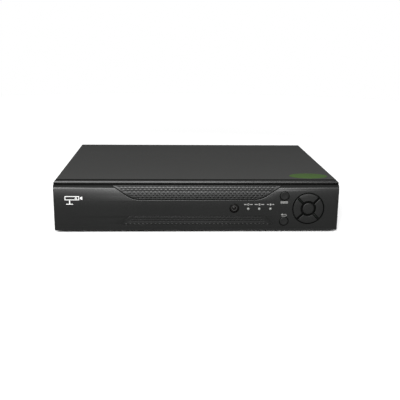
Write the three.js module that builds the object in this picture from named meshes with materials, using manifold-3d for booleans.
// A compact four-channel surveillance video recorder: a folded steel tray and cover with a moulded
// front bezel, five-way keypad, hard drive, main board with its rear sockets, and a cooling fan.
//
// Case coordinates: x runs left to right across the front, y from the bezel's face to the back,
// and z up from the bezel's underside. The last lines move the case so that the part's origin is
// at the bottom centre of its bounding box, with the front facing -y. All sizes are millimetres.

import * as THREE from "three";
import { mergeVertices } from "three/addons/utils/BufferGeometryUtils.js";
import Module from "manifold-3d";

const wasm = await Module();
wasm.setup();

// ---------------------------------------------------------------- driving dimensions

const footHeight = 3.2;
const sheet = 1.0; // steel sheet thickness
const gap = 0.3; // clearance between neighbouring pieces

const bezel = { width: 300, height: 52.3, depth: 12, rimDepth: 4, wall: 3.4 };
const cover = { width: 298.5, top: 53.0, front: 13.2, back: 225, sideBottom: 0.5, lipBottom: 43 };
const tray = { halfWidth: 147.6, front: 16.4, back: 223.7, bottom: 0.3, flangeTop: 14, rearTop: 51.5 };
const trayFloor = tray.bottom + sheet;
const socketTip = 238; // how far back the video sockets reach
const lampProud = 0.8; // how far the lamps stand out of the face
const keyTravel = 0.5;

// The bezel's face is upright below this height and curves back above it.
const face = { bendStart: 26, bendRadius: 80, roundStart: 45.4, round: 4.8, grooveFloor: 9 };
const lip = { front: 6.2, bottom: 50.5, lean: 0.4, round: 0.5 };
const upperGrilleTop = { z: 49, round: 1.6 };

const pad = { x: 117.6, z: 24.1, recess: 17, recessDepth: 2.4 }; // the five-way keypad
const arrow = { inner: 8.1, outer: 16.2, halfGap: 1.1, clearance: 0.4 };
const enterRadius = 6.1;
const roundButton = { x: 92, menuZ: 37.8, escapeZ: 10.4, radius: 4.6, clearance: 0.4 };
const remoteWindow = { x: 38.9, z: 24.5, radius: 4.7 };
const lamp = { x: [53.7, 65.4, 77.2], z: 24, radius: 1.6 };
const keyBoard = { front: 9.5, back: 11.1, left: 32, right: 138, bottom: 4.2, top: 45 };
const keyBoardScrews = [
  [50, 40],
  [76, 9],
];

const board = { left: -105, right: 122, front: 128, back: 221.9, bottom: 7.6, top: 9.2 };
const boardPosts = [
  [-100, 133],
  [117, 133],
  [-100, 195],
  [117, 195],
];
const drive = { left: -142, right: 5, front: 22, back: 123.6, bottom: 4.6, top: 30.7 };
const driveHoleFromPlugEnd = 41.28; // a 3.5 inch drive's standard bottom holes
const driveHolePitch = 76.2;
const driveHoleSpan = 95.25;
const fan = { x: -126.2, z: 26, size: 40, front: 212, back: 222, bore: 19, holePitch: 32 };
const rearInside = tray.back - sheet;

const videoSocket = { x: [113, 94, 75, 56], z: 18 };
const audioSocket = { x: [38, 25], z: 17 };
const vga = { x: 0, z: 15.8 };
const hdmi = { x: -27, width: 15, bottom: 9.5, top: 15.1 };
const usb = { x: -46, width: 14.2, bottom: 9.5, top: 25.3 };
const network = { x: -66, width: 16, bottom: 9.5, top: 23.1 };
const terminal = { x: -83, width: 11, bottom: 9.5, top: 20 };
const power = { x: -99.5, width: 9, bottom: 9.5, top: 20.5 };

const footAt = { x: 122, yFront: 38, yBack: 200 };
const sideScrew = { y: [50, 190], z: 8 };
const rearScrew = { x: [-118, 118], z: 47.5 };
const label = { x: 121.9, y: 29.2, halfWidth: 20.8, halfDepth: 12.4 };

// ---------------------------------------------------------------- solids from three.js shapes

// A closed three.js geometry as a manifold-3d solid with its faces pointing out.
function solidOf(geometry) {
  const bare = geometry.index ? geometry.toNonIndexed() : geometry.clone();
  bare.deleteAttribute("normal");
  bare.deleteAttribute("uv");
  const merged = mergeVertices(bare, 1e-4);
  const triVerts = new Uint32Array(merged.index.array);
  const vertProperties = merged.attributes.position.array;
  const made = new wasm.Manifold(new wasm.Mesh({ numProp: 3, vertProperties, triVerts }));
  if (made.volume() > 0) return made;
  for (let i = 0; i < triVerts.length; i += 3) {
    [triVerts[i + 1], triVerts[i + 2]] = [triVerts[i + 2], triVerts[i + 1]];
  }
  return new wasm.Manifold(new wasm.Mesh({ numProp: 3, vertProperties, triVerts }));
}

function geometryOf(solid) {
  const mesh = solid.getMesh();
  const positions = new Float32Array(mesh.numVert * 3);
  for (let i = 0; i < mesh.numVert; i++) {
    const start = i * mesh.numProp;
    positions.set(mesh.vertProperties.subarray(start, start + 3), i * 3);
  }
  const geometry = new THREE.BufferGeometry();
  geometry.setAttribute("position", new THREE.BufferAttribute(positions, 3));
  geometry.setIndex(new THREE.BufferAttribute(mesh.triVerts, 1));
  geometry.computeVertexNormals();
  return geometry;
}

function join(...solids) {
  return solids.reduce((sum, next) => sum.add(next));
}

function cut(solid, ...tools) {
  return tools.reduce((rest, tool) => rest.subtract(tool), solid);
}

function box(x0, x1, y0, y1, z0, z1) {
  const geometry = new THREE.BoxGeometry(x1 - x0, y1 - y0, z1 - z0);
  geometry.translate((x0 + x1) / 2, (y0 + y1) / 2, (z0 + z1) / 2);
  return solidOf(geometry);
}

// A cylinder lying along y.
function rodY(radius, x, z, y0, y1, sides = 24) {
  const geometry = new THREE.CylinderGeometry(radius, radius, y1 - y0, sides);
  geometry.translate(x, (y0 + y1) / 2, z);
  return solidOf(geometry);
}

// An upright cylinder.
function rodZ(radius, x, y, z0, z1, sides = 16) {
  const geometry = new THREE.CylinderGeometry(radius, radius, z1 - z0, sides);
  geometry.rotateX(Math.PI / 2);
  geometry.translate(x, y, (z0 + z1) / 2);
  return solidOf(geometry);
}

// A cylinder lying along x.
function rodX(radius, y, z, x0, x1, sides = 16) {
  const geometry = new THREE.CylinderGeometry(radius, radius, x1 - x0, sides);
  geometry.rotateZ(Math.PI / 2);
  geometry.translate((x0 + x1) / 2, y, z);
  return solidOf(geometry);
}

function shapeOf(points) {
  return new THREE.Shape(points.map(([a, b]) => new THREE.Vector2(a, b)));
}

// A shape drawn in x and z, pushed along y.
function prismY(shape, y0, y1, curveSegments = 4) {
  const options = { depth: y1 - y0, bevelEnabled: false, curveSegments };
  const geometry = new THREE.ExtrudeGeometry(shape, options);
  geometry.rotateX(Math.PI / 2);
  geometry.translate(0, y1, 0);
  return solidOf(geometry);
}

// A shape drawn in y and z, pushed along x.
function prismX(shape, x0, x1, curveSegments = 6) {
  const options = { depth: x1 - x0, bevelEnabled: false, curveSegments };
  const geometry = new THREE.ExtrudeGeometry(shape, options);
  geometry.applyMatrix4(new THREE.Matrix4().set(0, 0, 1, 0, 1, 0, 0, 0, 0, 1, 0, 0, 0, 0, 0, 1));
  geometry.translate(x0, 0, 0);
  return solidOf(geometry);
}

// A shape drawn in x and y, pushed along z.
function prismZ(shape, z0, z1, curveSegments = 6) {
  const options = { depth: z1 - z0, bevelEnabled: false, curveSegments };
  const geometry = new THREE.ExtrudeGeometry(shape, options);
  geometry.translate(0, 0, z0);
  return solidOf(geometry);
}

// A profile of [radius, distance along y] points, turned round the y axis at the origin.
function turned(profile, sides = 16) {
  const points = profile.map(([radius, along]) => new THREE.Vector2(radius, along));
  return solidOf(new THREE.LatheGeometry(points, sides));
}

// A rectangle with its own radius at the low and at the high corners.
function roundedRectangle(a0, a1, b0, b1, lowRadius, highRadius = lowRadius) {
  const quarter = Math.PI / 2;
  const shape = new THREE.Shape();
  shape.absarc(a0 + lowRadius, b0 + lowRadius, lowRadius, 2 * quarter, 3 * quarter, false);
  shape.absarc(a1 - lowRadius, b0 + lowRadius, lowRadius, 3 * quarter, 4 * quarter, false);
  shape.absarc(a1 - highRadius, b1 - highRadius, highRadius, 0, quarter, false);
  shape.absarc(a0 + highRadius, b1 - highRadius, highRadius, quarter, 2 * quarter, false);
  return shape;
}

// A sector of a ring about the keypad's centre, trimmed alongside the two diagonals.
function padSector(inner, outer, halfGap, direction) {
  const eighth = Math.PI / 4;
  const outerTrim = Math.asin(halfGap / outer);
  const innerTrim = Math.asin(halfGap / inner);
  const from = direction - eighth;
  const to = direction + eighth;
  const shape = new THREE.Shape();
  shape.absarc(pad.x, pad.z, outer, from + outerTrim, to - outerTrim, false);
  shape.absarc(pad.x, pad.z, inner, to - innerTrim, from + innerTrim, true);
  return shape;
}

// ---------------------------------------------------------------- the scene graph

const recorder = new THREE.Group();
const assembly = new THREE.Group();
recorder.add(assembly);

const materials = {
  coverPaint: new THREE.MeshStandardMaterial({ color: 0x3c3c3c, roughness: 0.55, metalness: 0.3 }),
  bezelPlastic: new THREE.MeshStandardMaterial({ color: 0x232423, roughness: 0.45, metalness: 0 }),
  keyPlastic: new THREE.MeshStandardMaterial({ color: 0x282828, roughness: 0.5, metalness: 0 }),
  darkLens: new THREE.MeshStandardMaterial({ color: 0x0c0808, roughness: 0.15, metalness: 0 }),
  clearLens: new THREE.MeshStandardMaterial({ color: 0xc8c8c4, roughness: 0.2, metalness: 0 }),
  rubber: new THREE.MeshStandardMaterial({ color: 0x161616, roughness: 0.9, metalness: 0 }),
  steel: new THREE.MeshStandardMaterial({ color: 0x9a9a98, roughness: 0.35, metalness: 0.9 }),
  blackSteel: new THREE.MeshStandardMaterial({ color: 0x1c1c1c, roughness: 0.4, metalness: 0.6 }),
  aluminium: new THREE.MeshStandardMaterial({ color: 0xa8aaac, roughness: 0.45, metalness: 0.8 }),
  nickel: new THREE.MeshStandardMaterial({ color: 0xc4c0b6, roughness: 0.25, metalness: 1 }),
  board: new THREE.MeshStandardMaterial({ color: 0x14532e, roughness: 0.5, metalness: 0 }),
  blackPlastic: new THREE.MeshStandardMaterial({ color: 0x151515, roughness: 0.5, metalness: 0 }),
  greenPlastic: new THREE.MeshStandardMaterial({ color: 0x2c8a3c, roughness: 0.5, metalness: 0 }),
  redCable: new THREE.MeshStandardMaterial({ color: 0xb02a24, roughness: 0.6, metalness: 0 }),
  greyCable: new THREE.MeshStandardMaterial({ color: 0x8c8c8a, roughness: 0.7, metalness: 0 }),
  label: new THREE.MeshStandardMaterial({ color: 0x4f7a35, roughness: 0.6, metalness: 0 }),
};

function addPiece(name, solid, material, x = 0, y = 0, z = 0, turn = [0, 0, 0]) {
  const mesh = new THREE.Mesh(geometryOf(solid), material);
  mesh.name = name;
  mesh.position.set(x, y, z);
  mesh.rotation.set(...turn);
  assembly.add(mesh);
}

// ---------------------------------------------------------------- front bezel

// How far the bezel's face has curved back at a height.
function setback(z) {
  return z <= face.bendStart ? 0 : (z - face.bendStart) ** 2 / (2 * face.bendRadius);
}

// Heights that follow the curved part of the face closely enough.
function bendHeights(top, steps = 5) {
  const rise = (top - face.bendStart) / steps;
  return Array.from({ length: steps + 1 }, (_, i) => face.bendStart + i * rise);
}

// Everything between two offsets behind the face, over the whole width.
function behindFace(from, to, top = 49) {
  const front = bendHeights(top).map((z) => [setback(z) + from, z]);
  const back = bendHeights(top).map((z) => [setback(z) + to, z]);
  const outline = [[to, -1], [from, -1], ...front, ...back.reverse()];
  return prismX(shapeOf(outline), -bezel.width / 2 - 1, bezel.width / 2 + 1);
}

// The bezel's outer side view: bottom chamfer, curved face, groove, top lip. The ends have no groove.
function bezelSideView(groove = true) {
  const start = setback(face.roundStart);
  const slope = Math.atan((face.roundStart - face.bendStart) / face.bendRadius);
  const centreY = start + face.round * Math.cos(slope);
  const centreZ = face.roundStart - face.round * Math.sin(slope);
  const faceTop = centreZ + face.round;
  const shape = new THREE.Shape();
  shape.moveTo(bezel.depth, 0);
  shape.lineTo(1.5, 0);
  shape.lineTo(0, 3);
  bendHeights(face.roundStart, 4).forEach((z) => shape.lineTo(setback(z), z));
  shape.absarc(centreY, centreZ, face.round, Math.PI - slope, Math.PI / 2, true);
  if (groove) {
    shape.lineTo(face.grooveFloor, faceTop);
    shape.lineTo(face.grooveFloor, lip.bottom);
  }
  shape.lineTo(lip.front + 0.3, lip.bottom);
  shape.lineTo(lip.front, lip.bottom + 0.4);
  const lipRoundY = lip.front + lip.lean + lip.round;
  shape.absarc(lipRoundY, bezel.height - lip.round, lip.round, Math.PI, Math.PI / 2, true);
  shape.lineTo(bezel.depth - 0.6, bezel.height);
  shape.lineTo(bezel.depth, bezel.height - 0.6);
  return shape;
}

// The grille outlines, as x and z points with a margin added all round.
function upperGrilleOutline(margin) {
  const shape = new THREE.Shape();
  const side = (sign) => ({
    top: [sign * (89.6 + margin * 2.4), upperGrilleTop.z + margin],
    bend: [sign * (74.2 + margin * 0.8), 38.9 - margin * 0.6],
    control: [sign * (67.2 + margin * 0.5), 34.3 - margin],
    bottom: [sign * 60, 34.3 - margin],
  });
  const left = side(-1);
  const right = side(1);
  shape.moveTo(...left.top);
  shape.lineTo(...left.bend);
  shape.quadraticCurveTo(...left.control, ...left.bottom);
  shape.lineTo(...right.bottom);
  shape.quadraticCurveTo(...right.control, ...right.bend);
  shape.lineTo(...right.top);
  return shape;
}

function lowerGrilleOutline(margin) {
  return shapeOf([
    [-80.2 - margin * 1.4, 7.3 - margin],
    [80.2 + margin * 1.4, 7.3 - margin],
    [71.2 + margin * 0.4, 16 + margin],
    [-71.2 - margin * 0.4, 16 + margin],
  ]);
}

const arrowDirections = {
  right_key: 0,
  up_key: Math.PI / 2,
  left_key: Math.PI,
  down_key: -Math.PI / 2,
};

// The shallow keypad recess and the holes that the keys and buttons come through.
function keyHoles() {
  const holeInner = arrow.inner - arrow.clearance;
  const holeOuter = arrow.outer + arrow.clearance;
  const recess = rodY(pad.recess, pad.x, pad.z, -2, 12, 32).intersect(
    behindFace(-2, pad.recessDepth),
  );
  const arrows = Object.values(arrowDirections).map((direction) => {
    const shape = padSector(holeInner, holeOuter, arrow.halfGap - arrow.clearance, direction);
    return prismY(shape, -2, 8);
  });
  const enter = rodY(enterRadius + arrow.clearance, pad.x, pad.z, -2, 8, 20);
  const holeRadius = roundButton.radius + roundButton.clearance;
  const buttons = [roundButton.menuZ, roundButton.escapeZ].map((z) =>
    rodY(holeRadius, roundButton.x, z, -2, 8, 20),
  );
  return join(recess, ...arrows, enter, ...buttons);
}

// Snap tabs: the lower pair hooks into the tray's front flange, the upper pair lies under the cover.
function bezelTabs() {
  const end = bezel.depth + bezel.rimDepth;
  const tabs = [-110, 110].flatMap((x) => [
    box(x - 6, x + 6, end - 1, end + 4, 3.0, 4.9),
    box(x - 6, x + 6, end + 1.8, end + 3.6, 4.8, 6.4),
    box(x - 16, x - 4, end - 1, end + 9, 50.0, 51.5),
  ]);
  return join(...tabs);
}

function frontBezel() {
  const half = bezel.width / 2;
  const endView = bezelSideView(false);
  const sideView = join(
    prismX(bezelSideView(), -146.6, 146.6, 4),
    prismX(endView, -half, -146.3, 4),
    prismX(endView, 146.3, half, 4),
  );
  const frontView = prismY(roundedRectangle(-half, half, 0, bezel.height, 1.5, 1.8), -1, 20, 4);
  const planView = prismZ(roundedRectangle(-half, half, 0, 40, 2.5), -1, 60, 4);
  const rim = box(-147.9, 147.9, bezel.depth - 1, bezel.depth + bezel.rimDepth, 1.6, 51.7);
  const outer = sideView.intersect(frontView).intersect(planView).add(rim);

  const end = bezel.depth + bezel.rimDepth + 1;
  const hollow = shapeOf([
    [bezel.wall, 3.2],
    [end, 3.2],
    [end, 50],
    [face.grooveFloor + 1.6, 50],
    [face.grooveFloor + 1.6, 46.4],
    [bezel.wall, 43.2],
  ]);
  const shell = cut(outer, prismX(hollow, -146, 146));
  const grilleBacking = box(-84, 84, bezel.wall - 0.5, 6.8, 31.5, 45);
  const posts = keyBoardScrews.map(([x, z]) => rodY(2.8, x, z, 3, keyBoard.front - gap, 10));

  const upperRecess = prismY(upperGrilleOutline(0.35), -2, 12).intersect(behindFace(-3, 2.2));
  const lowerRecess = prismY(lowerGrilleOutline(0.3), -1, 2.1);
  const lowerWindow = prismY(lowerGrilleOutline(-1.3), -1, 8);
  const windowHole = rodY(remoteWindow.radius + 0.25, remoteWindow.x, remoteWindow.z, -1, 8, 20);
  const lampHoles = lamp.x.map((x) => rodY(lamp.radius + 0.25, x, lamp.z, -1, 8, 14));
  const screwHoles = keyBoardScrews.map(([x, z]) => rodY(1.4, x, z, 4, 12, 8));
  return cut(
    join(shell, grilleBacking, ...posts, bezelTabs()),
    upperRecess,
    lowerRecess,
    lowerWindow,
    windowHole,
    keyHoles(),
    ...lampHoles,
    ...screwHoles,
  );
}

// The upper grille's panel follows the face, and its top edge curls back.
function upperGrille() {
  const { z: top, round } = upperGrilleTop;
  const front = bendHeights(top - round).map((z) => [setback(z) + 0.1, z]);
  const back = bendHeights(top).map((z) => [setback(z) + 1.6, z]);
  const curl = [0.3, 0.65, 1].map((t) => {
    const angle = (t * Math.PI) / 2;
    const y = setback(top - round) + 0.1 + round * (1 - Math.cos(angle));
    return [y, top - round + round * Math.sin(angle)];
  });
  const sideView = shapeOf([[1.6, 20], [0.1, 20], ...front, ...curl, ...back.reverse()]);
  return prismY(upperGrilleOutline(0), -2, 12).intersect(prismX(sideView, -100, 100));
}

// The air intake: a plate with a row of upright slots.
function lowerGrille() {
  const plate = prismY(lowerGrilleOutline(0), 0.1, 1.8);
  const pitch = 8.74;
  const count = 16;
  const slots = Array.from({ length: count }, (_, i) => {
    const x = (i - (count - 1) / 2) * pitch;
    return box(x - 2.6, x + 2.6, -1, 3, 9, 14.2);
  });
  return cut(plate, ...slots);
}

// The dark window in front of the remote-control receiver, with a raised ring.
function remoteWindowLens() {
  const lens = turned([
    [0, 1.5],
    [1.7, 1.5],
    [2.1, 0.9],
    [2.9, 0.9],
    [3.3, 1.5],
    [remoteWindow.radius, 1.5],
    [remoteWindow.radius, 3.7],
    [5.8, 3.7],
    [5.8, 4.4],
    [0, 4.4],
  ]);
  return lens;
}

// A domed 3 mm lamp with its collar and leads.
function lampBody() {
  const body = turned(
    [
      [0, -lampProud],
      [0.9, -lampProud + 0.3],
      [lamp.radius, 0.4],
      [lamp.radius, 5.6],
      [2.0, 5.6],
      [2.0, 6.6],
      [0, 6.6],
    ],
    14,
  );
  const leads = box(-0.3, 0.3, 6.4, keyBoard.front - 0.2, -1.5, 1.5);
  return body.add(leads);
}

function arrowKey(direction) {
  const cap = prismY(padSector(arrow.inner, arrow.outer, arrow.halfGap, direction), -1, 4.2);
  const flange = prismY(padSector(8.6, 17.4, 1.3, direction), 3.7, 4.5);
  const middle = (arrow.inner + arrow.outer) / 2;
  const x = pad.x + middle * Math.cos(direction);
  const z = pad.z + middle * Math.sin(direction);
  const stem = rodY(2, x, z, 4.4, 5.0, 12);
  return join(cap.intersect(behindFace(0.35, 30)), flange, stem);
}

// A round button about its own axis, with its front at the given depth.
function roundKey(radius, frontAt) {
  return turned([
    [0, frontAt],
    [radius - 0.5, frontAt],
    [radius, frontAt + 0.5],
    [radius, 3.7],
    [radius + 0.9, 3.7],
    [radius + 0.9, 4.5],
    [2, 4.5],
    [2, 5.0],
    [0, 5.0],
  ]);
}

addPiece("front_bezel", frontBezel(), materials.bezelPlastic);
addPiece("upper_grille", upperGrille(), materials.bezelPlastic);
addPiece("lower_grille", lowerGrille(), materials.bezelPlastic);
addPiece("ir_window", remoteWindowLens(), materials.darkLens, remoteWindow.x, 0, remoteWindow.z);
["power_led", "record_led", "alarm_led"].forEach((name, i) => {
  addPiece(name, lampBody(), materials.clearLens, lamp.x[i], 0, lamp.z);
});
for (const [name, direction] of Object.entries(arrowDirections)) {
  addPiece(name, arrowKey(direction), materials.keyPlastic);
}
addPiece("enter_key", roundKey(enterRadius, 0.2), materials.keyPlastic, pad.x, 0, pad.z);
const menuFront = setback(roundButton.menuZ) + 0.1;
const menuCap = roundKey(roundButton.radius, menuFront);
const escapeCap = roundKey(roundButton.radius, 0.3);
addPiece("menu_button", menuCap, materials.keyPlastic, roundButton.x, 0, roundButton.menuZ);
addPiece("escape_button", escapeCap, materials.keyPlastic, roundButton.x, 0, roundButton.escapeZ);

// ---------------------------------------------------------------- key board behind the bezel

function keyBoardAssembly() {
  const { front, back, left, right, bottom, top } = keyBoard;
  const reach = (arrow.inner + arrow.outer) / 2;
  const switches = [
    [roundButton.x, roundButton.menuZ],
    [roundButton.x, roundButton.escapeZ],
    [pad.x, pad.z],
    [pad.x + reach, pad.z],
    [pad.x - reach, pad.z],
    [pad.x, pad.z + reach],
    [pad.x, pad.z - reach],
  ].flatMap(([x, z]) => [
    box(x - 3, x + 3, 6.2, front + 0.1, z - 3, z + 3),
    rodY(1.7, x, z, 5.0 + keyTravel + 0.1, 6.3, 8),
  ]);
  const header = box(93, 107, back - 0.1, back + 3.8, 20.5, 27.5);
  const plate = box(left, right, front, back, bottom, top);
  const screwHoles = keyBoardScrews.map(([x, z]) => rodY(1.6, x, z, front - 1, back + 1, 8));
  return cut(join(plate, header, ...switches), ...screwHoles);
}

// The remote-control receiver: a moulded block with a round lens on its front.
function receiver() {
  const block = box(-3.5, 3.5, 6.4, keyBoard.front - 0.2, -3.5, 3.5);
  return block.add(rodY(2.4, 0, 0, 5.0, 6.5, 16));
}

// A pan-head screw along +y: the head's underside at the origin, its top towards -y.
function screw(headRadius, headHeight, shankRadius, length) {
  return turned(
    [
      [0, -headHeight],
      [headRadius * 0.75, -headHeight],
      [headRadius, -headHeight * 0.4],
      [headRadius, 0],
      [shankRadius, 0],
      [shankRadius, length],
      [0, length],
    ],
    8,
  );
}

addPiece("key_board", keyBoardAssembly(), materials.board);
addPiece("ir_receiver", receiver(), materials.darkLens, remoteWindow.x, 0, remoteWindow.z);
const towardsFront = [0, 0, Math.PI];
keyBoardScrews.forEach(([x, z], i) => {
  const solid = screw(2.4, 1.5, 1.15, 6);
  addPiece(`key_board_screw_${i + 1}`, solid, materials.steel, x, keyBoard.back + 0.15, z, towardsFront);
});

// ---------------------------------------------------------------- tray

// The horizontal slots in the rear wall behind the fan, each as long as the fan's circle allows.
function fanSlots() {
  const rows = [-15, -10, -5, 0, 5, 10, 15];
  return rows.map((dz) => {
    const halfLength = Math.sqrt(18 ** 2 - dz ** 2);
    const { x, z } = fan;
    return box(x - halfLength, x + halfLength, 220, 226, z + dz - 1.3, z + dz + 1.3);
  });
}

function rearVentSlots() {
  const count = 12;
  return Array.from({ length: count }, (_, i) => {
    const x = -84 + i * 9;
    return box(x - 1.3, x + 1.3, 220, 226, 30, 39.5);
  });
}

// A rectangular opening in the rear wall with a margin round a socket.
function rearWindow(socket, margin = 0.4) {
  const half = socket.width / 2 + margin;
  return box(socket.x - half, socket.x + half, 220, 226, socket.bottom - margin, socket.top + margin);
}

function rearOpenings() {
  return [
    ...fanSlots(),
    ...rearVentSlots(),
    ...videoSocket.x.map((x) => rodY(6.6, x, videoSocket.z, 220, 226, 16)),
    ...audioSocket.x.map((x) => rodY(4.7, x, audioSocket.z, 220, 226, 14)),
    box(vga.x - 9.2, vga.x + 9.2, 220, 226, vga.z - 5, vga.z + 5),
    ...[-12.5, 12.5].map((dx) => rodY(1.9, vga.x + dx, vga.z, 220, 226, 8)),
    ...[hdmi, usb, network, terminal, power].map((socket) => rearWindow(socket)),
    ...rearScrew.x.map((x) => rodY(1.5, x, rearScrew.z, 220, 226, 8)),
    ...[-1, 1].flatMap((sx) =>
      [-1, 1].map((sz) => {
        const offset = fan.holePitch / 2;
        return rodY(1.7, fan.x + sx * offset, fan.z + sz * offset, 220, 226, 8);
      }),
    ),
  ];
}

const driveHoles = [0, 1].flatMap((i) =>
  [-1, 1].map((side) => {
    const x = drive.right - driveHoleFromPlugEnd - i * driveHolePitch;
    return [x, (drive.front + drive.back) / 2 + (side * driveHoleSpan) / 2];
  }),
);
const feetAt = [
  ["foot_front_left", -footAt.x, footAt.yFront],
  ["foot_front_right", footAt.x, footAt.yFront],
  ["foot_rear_left", -footAt.x, footAt.yBack],
  ["foot_rear_right", footAt.x, footAt.yBack],
];

function trayBody() {
  const { halfWidth, front, back, bottom, flangeTop, rearTop } = tray;
  const floor = box(-halfWidth, halfWidth, front, back, bottom, trayFloor);
  const sides = [-1, 1].map((sign) => {
    const a = sign * halfWidth;
    const b = sign * (halfWidth - sheet);
    return box(Math.min(a, b), Math.max(a, b), front, back, bottom, flangeTop);
  });
  const frontFlange = box(-halfWidth, halfWidth, front, front + sheet, bottom, 9);
  const rearWall = box(-halfWidth, halfWidth, rearInside, back, bottom, rearTop);
  const driveBosses = driveHoles.map(([x, y]) => rodZ(5, x, y, bottom, drive.bottom - gap, 12));
  const posts = boardPosts.map(([x, y]) => rodZ(2.8, x, y, bottom, board.bottom - gap, 8));
  const solid = join(floor, ...sides, frontFlange, rearWall, ...driveBosses, ...posts);

  const tabSlots = [-110, 110].map((x) => box(x - 6.6, x + 6.6, 16, 18, 2.6, 6.8));
  const screwHoles = driveHoles.map(([x, y]) => rodZ(1.8, x, y, -1, 6, 8));
  const postHoles = boardPosts.map(([x, y]) => rodZ(1.3, x, y, trayFloor + 1, 9, 6));
  const footHoles = feetAt.map(([, x, y]) => rodZ(2.6, x, y, -1, 3, 10));
  const sideHoles = sideScrew.y.flatMap((y) => [
    rodX(1.5, y, sideScrew.z, -150, -140, 8),
    rodX(1.5, y, sideScrew.z, 140, 150, 8),
  ]);
  const floorVents = Array.from({ length: 8 }, (_, i) => {
    const x = 40 + i * 10;
    return box(x - 1.4, x + 1.4, 62, 92, -1, 3);
  });
  return cut(
    solid,
    ...tabSlots,
    ...screwHoles,
    ...postHoles,
    ...footHoles,
    ...sideHoles,
    ...floorVents,
    ...rearOpenings(),
  );
}

// A push-in rubber foot about its own axis, standing below its stem, with z up.
function foot() {
  const solid = turned(
    [
      [0, -footHeight],
      [7.2, -footHeight],
      [8, -footHeight + 1],
      [8, tray.bottom - 0.1],
      [2.2, tray.bottom - 0.1],
      [2.2, trayFloor + 1.2],
      [0, trayFloor + 1.2],
    ],
    12,
  );
  return solid.rotate([90, 0, 0]);
}

addPiece("chassis_tray", trayBody(), materials.steel);
for (const [name, x, y] of feetAt) {
  addPiece(name, foot(), materials.rubber, x, y, 0);
}
const upwards = [Math.PI / 2, 0, 0];
driveHoles.forEach(([x, y], i) => {
  const solid = screw(2.8, 1.3, 1.45, 6.5);
  addPiece(`drive_screw_${i + 1}`, solid, materials.steel, x, y, tray.bottom - 0.1, upwards);
});

// ---------------------------------------------------------------- top cover

// The cover's end view: a top and two sides with rounded folds.
function coverEndView() {
  const half = cover.width / 2;
  const fold = 1.6;
  const inner = half - sheet;
  const innerFold = fold - sheet;
  const under = cover.top - sheet;
  const shape = new THREE.Shape();
  shape.moveTo(half, cover.sideBottom);
  shape.absarc(half - fold, cover.top - fold, fold, 0, Math.PI / 2, false);
  shape.absarc(-half + fold, cover.top - fold, fold, Math.PI / 2, Math.PI, false);
  shape.lineTo(-half, cover.sideBottom);
  shape.lineTo(-inner, cover.sideBottom);
  shape.absarc(-inner + innerFold, under - innerFold, innerFold, Math.PI, Math.PI / 2, true);
  shape.absarc(inner - innerFold, under - innerFold, innerFold, Math.PI / 2, 0, true);
  shape.lineTo(inner, cover.sideBottom);
  return shape;
}

function topCover() {
  const folded = prismY(coverEndView(), cover.front, cover.back, 3);
  const inner = cover.width / 2 - sheet;
  const lipInside = cover.back - sheet;
  const rearLip = box(-inner - 0.2, inner + 0.2, lipInside, cover.back, cover.lipBottom, cover.top - 0.5);
  const groupStarts = [62, 142];
  const slots = groupStarts.flatMap((start) =>
    Array.from({ length: 9 }, (_, i) => {
      const y = start + i * 6;
      return box(-160, 160, y - 1.25, y + 1.25, 20, 36);
    }),
  );
  const sideHoles = sideScrew.y.map((y) => rodX(1.7, y, sideScrew.z, -160, 160, 8));
  const rearHoles = rearScrew.x.map((x) => rodY(1.7, x, rearScrew.z, 223.9, 226, 8));
  return cut(join(folded, rearLip), ...slots, ...sideHoles, ...rearHoles);
}

function ellipse(halfWidth, halfDepth) {
  const shape = new THREE.Shape();
  shape.absellipse(0, 0, halfWidth, halfDepth, 0, 2 * Math.PI, false, 0);
  return shape;
}

addPiece("top_cover", topCover(), materials.coverPaint);
const labelSolid = prismZ(ellipse(label.halfWidth, label.halfDepth), 0, 0.12, 16);
addPiece("quality_label", labelSolid, materials.label, label.x, label.y, cover.top + 0.08);

const halfCover = cover.width / 2;
const coverScrew = () => screw(2.8, 1.3, 1.25, 5);
const intoRightSide = [0, 0, Math.PI / 2];
const intoLeftSide = [0, 0, -Math.PI / 2];
sideScrew.y.forEach((y, i) => {
  const end = i === 0 ? "front" : "rear";
  const out = halfCover + 0.1;
  addPiece(`side_screw_right_${end}`, coverScrew(), materials.blackSteel, out, y, sideScrew.z, intoRightSide);
  addPiece(`side_screw_left_${end}`, coverScrew(), materials.blackSteel, -out, y, sideScrew.z, intoLeftSide);
});
rearScrew.x.forEach((x, i) => {
  const side = i === 0 ? "left" : "right";
  const y = cover.back + 0.1;
  addPiece(`rear_screw_${side}`, coverScrew(), materials.blackSteel, x, y, rearScrew.z, towardsFront);
});

// ---------------------------------------------------------------- hard drive

function driveBody() {
  const { left, right, front, back, bottom, top } = drive;
  const outline = roundedRectangle(left, right, front, back, 3);
  const casting = prismZ(outline, bottom, top - 2.2, 3);
  const boardPocket = box(-96, right + 1, 38, 108, bottom - 1, bottom + 3.6);
  const sideNotches = [front - 1, back - 5].map((y) =>
    box(left + 20, right - 20, y, y + 6, bottom + 9, bottom + 15),
  );
  const screwHoles = driveHoles.map(([x, y]) => rodZ(1.7, x, y, bottom - 1, bottom + 6, 8));
  return cut(casting, boardPocket, ...sideNotches, ...screwHoles);
}

function driveLid() {
  const { left, right, front, back, top } = drive;
  const plate = prismZ(roundedRectangle(left + 1.5, right - 8, front + 1.5, back - 1.5, 6), top - 2, top, 3);
  const hub = rodZ(14, left + 50, (front + back) / 2, top - 0.5, top + 1, 24);
  const pivot = rodZ(6, right - 40, back - 28, top - 0.5, top + 1, 16);
  return join(plate, hub, pivot);
}

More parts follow.
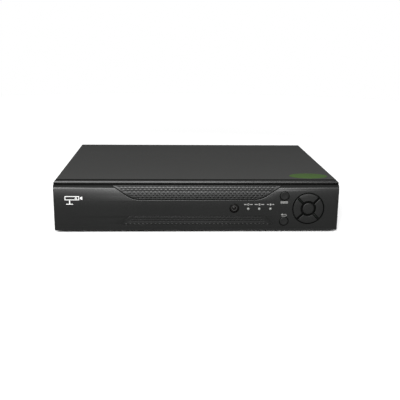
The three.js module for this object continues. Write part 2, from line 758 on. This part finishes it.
// The drive's own circuit board, with the plug block at the right end.
function driveBoard() {
  const { right, bottom } = drive;
  const plate = box(-95, right - 0.5, 39, 107, bottom + 1.2, bottom + 2.6);
  const plugBlock = box(right - 6, right - 0.5, 42, 90, bottom + 0.2, bottom + 3.3);
  const chip = box(-60, -46, 62, 76, bottom + 0.3, bottom + 1.3);
  const motorChip = box(-30, -20, 84, 94, bottom + 0.3, bottom + 1.3);
  return join(plate, plugBlock, chip, motorChip);
}

addPiece("hard_drive_body", driveBody(), materials.aluminium);
addPiece("hard_drive_lid", driveLid(), materials.steel);
addPiece("hard_drive_board", driveBoard(), materials.board);

// ---------------------------------------------------------------- main board

const heatsinkAt = { x: 5, y: 168, half: 17.5 };
const cellAt = { x: 62, y: 158, radius: 10 };
const buzzerAt = { x: 98, y: 160, radius: 6 };
const driveSocketAt = { x: 30, y: 137 };
const powerHeaderAt = { x: 58, y: 136 };

function mainBoard() {
  const { left, right, front, back, bottom, top } = board;
  const plate = box(left, right, front, back, bottom, top);
  const seat = top - 0.1;
  const { x, y } = heatsinkAt;
  const chips = [
    box(x - 12, x + 12, y - 12, y + 12, seat, top + 1.4), // processor
    box(-32, -20, 150, 160, seat, top + 1.1), // memory
    box(-32, -20, 166, 176, seat, top + 1.1), // memory
    box(-70, -54, 176, 190, seat, top + 4.6), // network transformer
    box(34, 44, 176, 186, seat, top + 1.1), // video decoder
    box(62, 72, 178, 188, seat, top + 1.1), // video decoder
    box(-82, -72, 140, 150, seat, top + 4), // power inductor
    box(-60, -50, 140, 150, seat, top + 4), // power inductor
    box(cellAt.x - 11.5, cellAt.x + 11.5, cellAt.y - 9, cellAt.y + 9, seat, top + 1.6), // cell holder
    box(93, 107, 133, 139, seat, top + 7.8), // front ribbon header
    box(powerHeaderAt.x - 5.5, powerHeaderAt.x + 5.5, 133, 139, seat, top + 7), // drive power header
    box(-98, -90, 170, 178, seat, top + 5), // fan header
  ];
  const capacitors = [
    [-84, 164],
    [-84, 178],
    [-46, 164],
  ].map(([cx, cy]) => rodZ(4, cx, cy, seat, top + 11.5, 12));
  const holes = boardPosts.map(([px, py]) => rodZ(1.6, px, py, bottom - 1, top + 1, 8));
  return cut(join(plate, ...chips, ...capacitors), ...holes);
}

// A finned heat sink standing on the processor.
function heatsink() {
  const { half } = heatsinkAt;
  const finCount = 9;
  const finPitch = (2 * half - 1.2) / (finCount - 1);
  const base = box(-half, half, -half, half, 0, 2.6);
  const fins = Array.from({ length: finCount }, (_, i) => {
    const x = -half + i * finPitch;
    return box(x, x + 1.2, -half, half, 2.5, 12);
  });
  return join(base, ...fins);
}

function buzzer() {
  const { x, y, radius } = buzzerAt;
  const can = rodZ(radius, x, y, board.top + 0.1, board.top + 9.5, 20);
  return cut(can, rodZ(1.3, x, y, board.top + 7, board.top + 12, 10));
}

// The board's upright drive data socket, with the key slot that takes the plug.
function driveSocket() {
  const { x, y } = driveSocketAt;
  const body = box(x - 8.3, x + 8.3, y - 3, y + 3, board.top + 0.1, board.top + 8.4);
  return cut(body, box(x - 5.6, x + 5.6, y - 1.5, y + 1.5, board.top + 3, board.top + 12));
}

addPiece("main_board", mainBoard(), materials.board);
addPiece("heatsink", heatsink(), materials.aluminium, heatsinkAt.x, heatsinkAt.y, board.top + 1.7);
const cellBottom = board.top + 1.8;
const cell = rodZ(cellAt.radius, cellAt.x, cellAt.y, cellBottom, cellBottom + 3.2, 24);
addPiece("coin_cell", cell, materials.steel);
addPiece("buzzer", buzzer(), materials.blackPlastic);
addPiece("drive_socket", driveSocket(), materials.redCable);

// ---------------------------------------------------------------- rear sockets

// A bayonet video socket about its own axis: block inside the case, threaded neck, barrel, lugs.
function bayonetSocket() {
  const block = box(-7.25, 7.25, 207, rearInside - gap, -8.3, 7.2);
  const barrel = turned(
    [
      [0, 222],
      [6.2, 222],
      [6.2, 227.4],
      [4.85, 228],
      [4.85, socketTip],
      [4.05, socketTip],
      [4.05, 229.5],
      [2.4, 229.5],
      [2.4, 236.4],
      [0, 236.4],
    ],
    16,
  );
  const lugs = [-1, 1].map((sign) => box(sign * 5 - 0.7, sign * 5 + 0.7, 232, 234, -1, 1));
  return join(block, barrel, ...lugs);
}

// A phono socket about its own axis.
function phonoSocket() {
  const block = box(-5, 5, 210, rearInside - gap, -7.4, 6.5);
  const barrel = turned(
    [
      [0, 222],
      [4.3, 222],
      [4.3, 233],
      [1.7, 233],
      [1.7, 225],
      [0, 225],
    ],
    14,
  );
  return join(block, barrel);
}

// The 15-way display socket with its jack screws.
function vgaSocket() {
  const block = box(-15.5, 15.5, 211, rearInside - gap, -6.2, 6.2);
  const shell = shapeOf([
    [-8.4, 3.2],
    [-7.4, 4.2],
    [7.4, 4.2],
    [8.4, 3.2],
    [7.2, -3.4],
    [6.4, -4.2],
    [-6.4, -4.2],
    [-7.2, -3.4],
  ]);
  const insert = shapeOf([
    [-7.6, 3.4],
    [7.6, 3.4],
    [6.6, -3.4],
    [-6.6, -3.4],
  ]);
  const tube = prismY(shell, 222, 229.5).subtract(prismY(insert, 227.2, 231));
  const jackScrews = [-12.5, 12.5].flatMap((x) => [
    rodY(1.5, x, 0, 222, 225, 10),
    cut(rodY(2.9, x, 0, 223.9, 229, 6), rodY(1.2, x, 0, 225.5, 230, 8)),
  ]);
  return join(block, tube, ...jackScrews);
}

// A shielded socket: a sleeve with cavities that each hold a tongue.
function shieldedSocket(socket, depth, back, cavities) {
  const half = socket.width / 2;
  const body = box(-half, half, back - depth, back, socket.bottom, socket.top);
  const holes = cavities.map((c) => box(-c.half, c.half, back - c.depth, back + 1, c.low, c.high));
  const tongues = cavities
    .filter((c) => c.tongue)
    .map((c) => box(-c.tongue.half, c.tongue.half, back - c.depth - 0.5, back - 1, c.tongue.low, c.tongue.high));
  return join(cut(body, ...holes), ...tongues);
}

function usbCavity(low) {
  const high = low + 5.1;
  return { half: 6.25, depth: 9, low, high, tongue: { half: 5.6, low: high - 2.4, high: high - 0.6 } };
}

function networkSocket() {
  const body = shieldedSocket(network, 16, 224.2, [{ half: 5.9, depth: 12, low: 12.4, high: 19.6 }]);
  const latchSlot = box(-3.1, 3.1, 212.2, 226, 10.6, 12.6);
  return cut(body, latchSlot);
}

function terminalBlock() {
  const half = terminal.width / 2;
  const body = box(-half, half, 212, 225.2, terminal.bottom, terminal.top);
  const holes = [-2.5, 2.5].flatMap((x) => [
    box(x - 1.8, x + 1.8, 220, 226, 11, 14.6),
    rodZ(1.7, x, 218.6, 16, 21, 10),
  ]);
  return cut(body, ...holes);
}

function powerSocket() {
  const half = power.width / 2;
  const middle = (power.bottom + power.top) / 2;
  const body = box(-half, half, 210.5, 224.2, power.bottom, power.top);
  const bore = rodY(3.1, 0, middle, 215, 226, 16);
  return cut(body, bore).add(rodY(1.0, 0, middle, 214, 223, 8));
}

videoSocket.x.forEach((x, i) => {
  addPiece(`video_socket_${i + 1}`, bayonetSocket(), materials.nickel, x, 0, videoSocket.z);
});
["audio_in_socket", "audio_out_socket"].forEach((name, i) => {
  addPiece(name, phonoSocket(), materials.blackPlastic, audioSocket.x[i], 0, audioSocket.z);
});
addPiece("vga_socket", vgaSocket(), materials.steel, vga.x, 0, vga.z);
const hdmiCavity = { half: 6.9, depth: 9, low: 10.1, high: 14.5, tongue: { half: 5.4, low: 11.9, high: 13.1 } };
addPiece("hdmi_socket", shieldedSocket(hdmi, 12, 224.3, [hdmiCavity]), materials.steel, hdmi.x);
const usbBody = shieldedSocket(usb, 17, 224.5, [usbCavity(10.9), usbCavity(18.7)]);
addPiece("usb_socket", usbBody, materials.steel, usb.x);
addPiece("network_socket", networkSocket(), materials.steel, network.x);
addPiece("terminal_block", terminalBlock(), materials.greenPlastic, terminal.x);
addPiece("power_socket", powerSocket(), materials.blackPlastic, power.x);

// ---------------------------------------------------------------- fan

function fanFrame() {
  const half = fan.size / 2;
  const body = prismY(roundedRectangle(-half, half, -half, half, 2.5), fan.front, fan.back, 3);
  const bore = rodY(fan.bore, 0, 0, fan.front - 1, fan.back + 1, 28);
  const offset = fan.holePitch / 2;
  const holes = [-1, 1].flatMap((sx) =>
    [-1, 1].map((sz) => rodY(1.8, sx * offset, sz * offset, fan.front - 1, fan.back + 1, 8)),
  );
  const motorPlate = rodY(10.5, 0, 0, fan.back - 1.8, fan.back, 16);
  const struts = [0, 1, 2].map((i) => {
    const geometry = new THREE.BoxGeometry(11.5, 1.8, 2.4);
    geometry.translate(14.5, fan.back - 0.9, 0);
    geometry.rotateY((i * 2 * Math.PI) / 3 + 0.4);
    return solidOf(geometry);
  });
  return join(cut(body, bore, ...holes), motorPlate, ...struts);
}

// Seven pitched blades on a domed hub, centred on its own axis.
function fanRotor() {
  const hub = turned(
    [
      [0, -3.4],
      [9.4, -3.4],
      [10.4, -2.4],
      [10.4, 3.2],
      [0, 3.2],
    ],
    20,
  );
  const bladeCount = 7;
  const blades = Array.from({ length: bladeCount }, (_, i) => {
    const geometry = new THREE.BoxGeometry(8.4, 0.9, 8.6);
    geometry.rotateX(0.6);
    geometry.translate(13.6, 0, 0);
    geometry.rotateY((i * 2 * Math.PI) / bladeCount);
    return solidOf(geometry);
  });
  return join(hub, ...blades);
}

addPiece("fan_frame", fanFrame(), materials.blackPlastic, fan.x, 0, fan.z);
addPiece("fan_rotor", fanRotor(), materials.blackPlastic, fan.x, 216.2, fan.z);

// ---------------------------------------------------------------- internal cables

// A plain section swept along a smooth route.
function cable(halfWidth, halfThickness, route, steps) {
  const shape = ellipse(halfWidth, halfThickness);
  const path = new THREE.CatmullRomCurve3(route.map((p) => new THREE.Vector3(...p)));
  const options = { steps, bevelEnabled: false, extrudePath: path, curveSegments: 4 };
  return solidOf(new THREE.ExtrudeGeometry(shape, options));
}

// The drive's data lead: a plug at the drive, a flat cable, and a plug on the board's socket.
function dataCable() {
  const { x, y } = driveSocketAt;
  const drivePlug = box(5.3, 20, 43, 57, 5, 11);
  const boardPlug = box(x - 8, x + 8, y - 3, y + 3, board.top + 8.8, board.top + 19);
  const route = [
    [19, 50, 8],
    [28, 51, 9],
    [38, 62, 12],
    [41, 84, 18],
    [37, 112, 27],
    [32, 130, 36],
    [x, y, 35],
    [x, y, 27],
  ];
  return join(drivePlug, boardPlug, cable(2.6, 1.4, route, 22));
}

// The drive's power lead: its wires run together as one round bundle.
function powerCable() {
  const { x } = powerHeaderAt;
  const drivePlug = box(5.3, 19, 61, 84, 5, 11);
  const boardPlug = box(x - 5, x + 5, 133.5, 138.5, board.top + 7.3, board.top + 15);
  const route = [
    [18, 72, 8],
    [30, 73, 9],
    [48, 84, 10],
    [60, 104, 16],
    [62, 122, 27],
    [60, 133, 32],
    [x, 136, 30],
    [x, 136, 23],
  ];
  return join(drivePlug, boardPlug, cable(2.2, 2.2, route, 22));
}

// A band of even thickness that follows points in y and z, with its ends left square.
function bandShape(points, thickness) {
  const path = new THREE.CatmullRomCurve3(points.map(([y, z]) => new THREE.Vector3(y, z, 0)));
  const steps = 24;
  const edge = (side) =>
    Array.from({ length: steps + 1 }, (_, i) => {
      const p = path.getPointAt(i / steps);
      const t = path.getTangentAt(i / steps);
      return [p.x - (t.y * side * thickness) / 2, p.y + (t.x * side * thickness) / 2];
    });
  return shapeOf([...edge(-1), ...edge(1).reverse()]);
}

// The ribbon from the key board's header to the main board's header.
function frontRibbon() {
  const band = prismX(
    bandShape(
      [
        [15.6, 24],
        [21, 23.6],
        [25, 18],
        [28, 8],
        [36, 3],
        [70, 2.6],
        [105, 3],
        [117, 6],
        [123, 15],
        [128, 21.5],
        [134, 22.5],
      ],
      0.9,
    ),
    94,
    106,
  );
  const keyPlug = box(94, 106, 15.1, 17.1, 21, 27);
  const boardPlug = box(94, 106, 133, 139, board.top + 8.1, board.top + 14);
  return join(band, keyPlug, boardPlug);
}

addPiece("sata_data_cable", dataCable(), materials.redCable);
addPiece("sata_power_cable", powerCable(), materials.greyCable);
addPiece("front_ribbon", frontRibbon(), materials.greyCable);

// The origin goes to the middle of the footprint, at the bottom of the feet.
assembly.position.set(0, (lampProud - socketTip) / 2, footHeight);

export default recorder;
